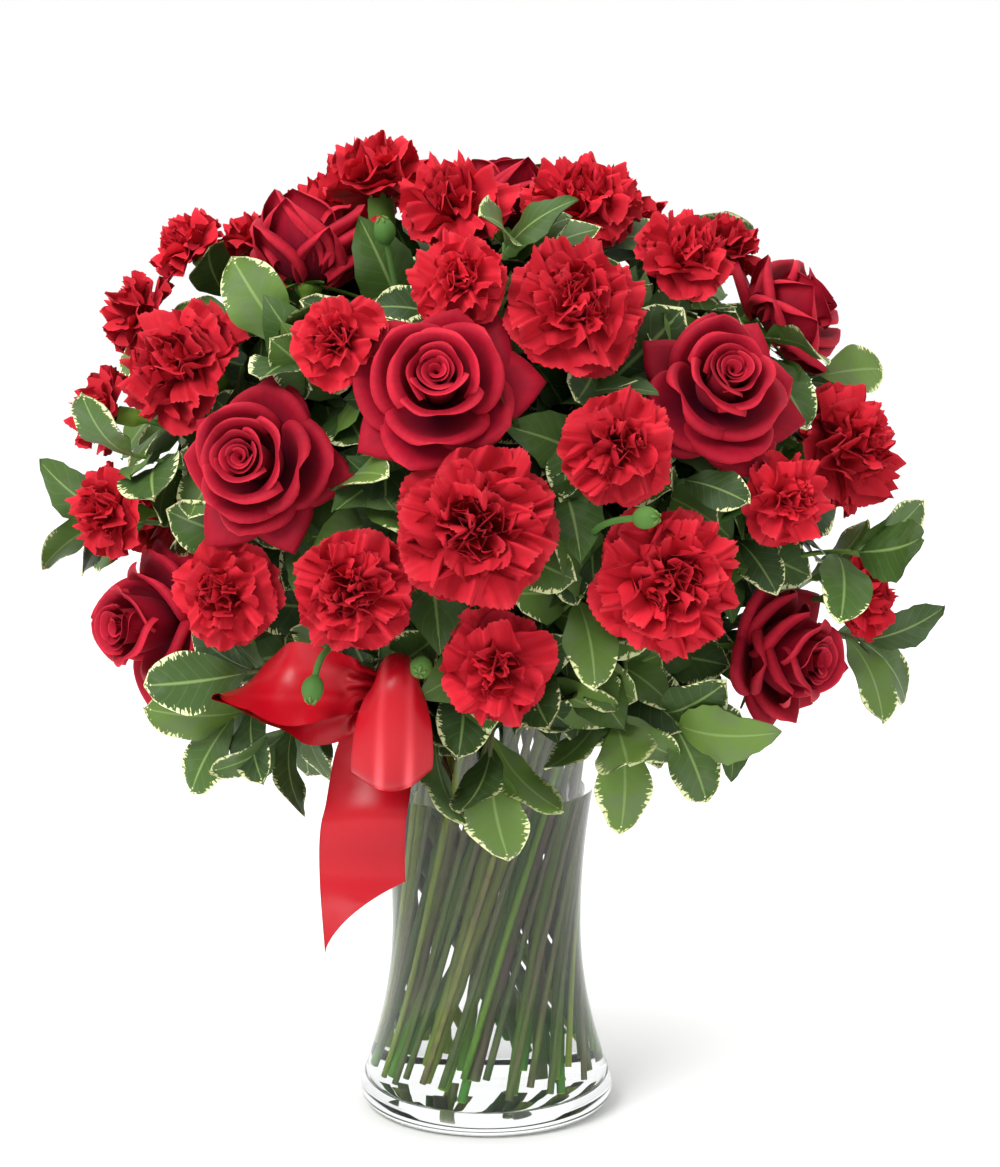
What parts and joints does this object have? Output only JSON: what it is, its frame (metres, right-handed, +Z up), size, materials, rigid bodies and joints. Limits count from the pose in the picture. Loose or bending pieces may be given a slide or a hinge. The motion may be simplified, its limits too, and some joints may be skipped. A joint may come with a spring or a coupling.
{
  "type": "carnations in a vase",
  "caption": "Round bouquet of red carnations, spray carnations and roses with variegated leaves and a satin bow, in a flared clear glass vase with water.",
  "frame": {"origin": "centre of the vase's flat foot, on the surface it stands on", "axes": "+Z up the vase's axis, -Y towards the front of the bouquet where the bow is, +X to the right seen from the front"},
  "size_m": [0.399, 0.3259, 0.4367],
  "materials": {
    "clear_glass": "clear, polished",
    "water": "clear, still",
    "stems": "satin, fresh green with woody stretches",
    "rose_petals": "velvety",
    "carnation_petals": "matte, thin petals",
    "leaves": "waxy, green with cream margins",
    "satin": "satin weave, glossy along the ribbon",
    "wire": "green lacquered florist's wire"
  },
  "bodies": {
    "root": {"vase": "clear_glass", "water": "water", "flower_stems": "stems", "rose_01": "rose_petals", "rose_02": "rose_petals", "rose_03": "rose_petals", "rose_04": "rose_petals", "rose_05": "rose_petals", "rose_06": "rose_petals", "rose_07": "rose_petals", "rose_08": "rose_petals", "rose_09": "rose_petals", "rose_10": "rose_petals", "rose_11": "rose_petals", "carnation_01": "carnation_petals", "carnation_02": "carnation_petals", "carnation_03": "carnation_petals", "carnation_04": "carnation_petals", "carnation_05": "carnation_petals", "carnation_06": "carnation_petals", "carnation_07": "carnation_petals", "carnation_08": "carnation_petals", "carnation_09": "carnation_petals", "carnation_10": "carnation_petals", "carnation_11": "carnation_petals", "carnation_12": "carnation_petals", "spray_carnation_01": "carnation_petals", "spray_carnation_02": "carnation_petals", "spray_carnation_03": "carnation_petals", "spray_carnation_04": "carnation_petals", "spray_carnation_05": "carnation_petals", "spray_carnation_06": "carnation_petals", "spray_carnation_07": "carnation_petals", "spray_carnation_08": "carnation_petals", "spray_carnation_09": "carnation_petals", "spray_carnation_10": "carnation_petals", "spray_carnation_11": "carnation_petals", "spray_carnation_12": "carnation_petals", "spray_carnation_13": "carnation_petals", "spray_carnation_14": "carnation_petals", "spray_carnation_15": "carnation_petals", "spray_carnation_16": "carnation_petals", "spray_carnation_17": "carnation_petals", "spray_carnation_18": "carnation_petals", "spray_carnation_19": "carnation_petals", "leaf_spray_01": "leaves", "leaf_spray_02": "leaves", "leaf_spray_03": "leaves", "leaf_spray_04": "leaves", "leaf_spray_05": "leaves", "leaf_spray_06": "leaves", "leaf_spray_07": "leaves", "leaf_spray_08": "leaves", "leaf_spray_09": "leaves", "leaf_spray_10": "leaves", "leaf_spray_11": "leaves", "leaf_spray_12": "leaves", "bow": "satin", "bow_pick": "wire"}
  },
  "joints": []
}
